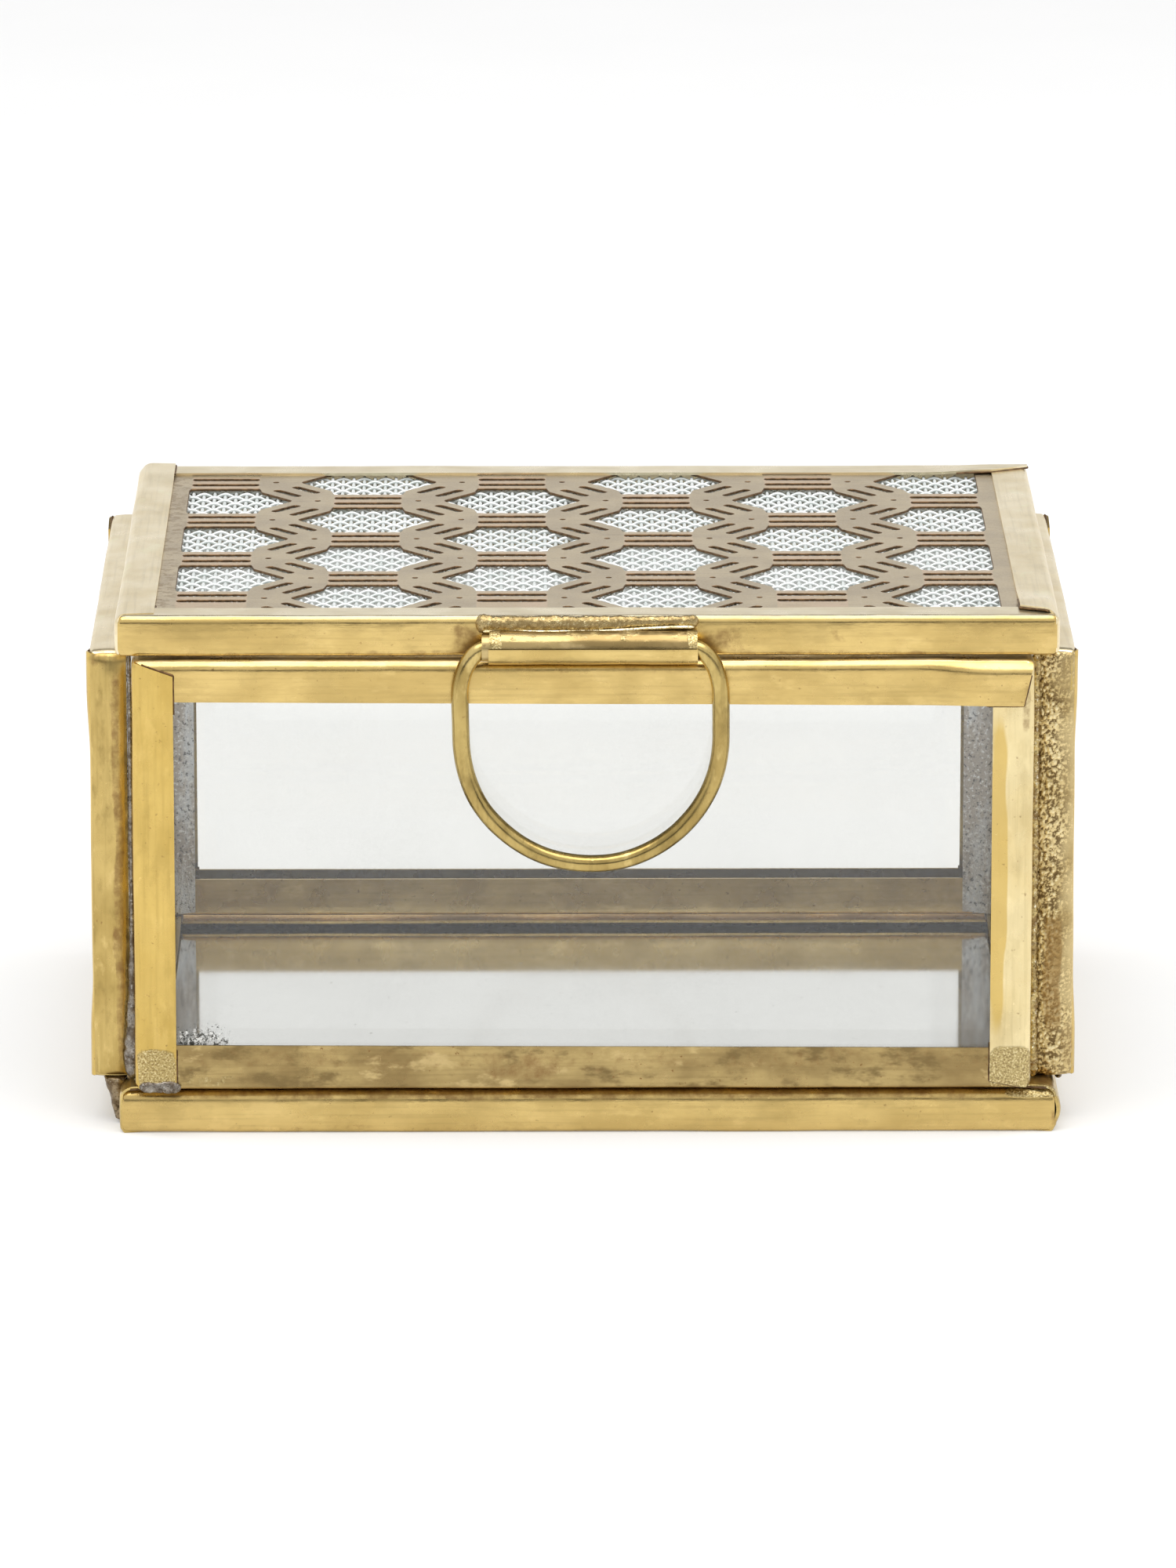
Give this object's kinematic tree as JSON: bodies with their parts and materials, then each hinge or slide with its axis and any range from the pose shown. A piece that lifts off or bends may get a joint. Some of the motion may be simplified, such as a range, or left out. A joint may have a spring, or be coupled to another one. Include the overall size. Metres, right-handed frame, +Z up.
{
  "type": "trinket box",
  "caption": "Brass-bound glass trinket box with a mirror base, a hinged lid of pierced plate over woven wire, and a drop ring pull.",
  "frame": {"origin": "centre of the object's box, on the surface that it stands on", "axes": "+X along the front from left to right, +Y from front to back, +Z up"},
  "size_m": [0.1098, 0.086, 0.0594],
  "materials": {
    "brass": "aged, hand-finished",
    "fretwork_brass": "antique satin",
    "solder": "grainy, brass-washed solder",
    "steel_wire": "woven wire",
    "mirror": "mirror",
    "glass": "clear"
  },
  "bodies": {
    "box": {"base_channel": "brass", "base_mirror": "mirror", "front_channel": "brass", "front_glass": "glass", "back_channel": "brass", "back_glass": "glass", "left_channel": "brass", "left_glass": "glass", "right_channel": "brass", "right_glass": "glass", "corner_solder_front_left": "solder", "corner_solder_front_right": "solder", "corner_solder_back_left": "solder", "corner_solder_back_right": "solder", "base_solder_front_left": "solder", "base_solder_front_right": "solder", "base_solder_back_left": "solder", "base_solder_back_right": "solder", "hinge_knuckle_left": "brass", "hinge_knuckle_right": "brass", "hinge_solder_left": "solder", "hinge_solder_right": "solder", "hinge_pin": "brass"},
    "lid": {"lid_channel": "brass", "lid_glass": "glass", "lid_wire_mesh": "steel_wire", "lid_fretwork": "fretwork_brass", "hinge_leaf_lid": "brass", "hinge_solder_lid": "solder", "pull_barrel": "brass", "pull_barrel_solder": "solder"},
    "pull": {"pull_ring": "brass"}
  },
  "joints": [
    {"name": "lid_hinge", "type": "hinge", "parent": "box", "child": "lid", "pos_m": [0, 0.04165, 0.05465], "axis": [-1, 0, 0], "range_deg": [0, 110]},
    {"name": "pull_swing", "type": "hinge", "parent": "lid", "child": "pull", "pos_m": [0.0008, -0.04115, 0.0563], "axis": [-1, 0, 0], "range_deg": [0, 195]}
  ]
}
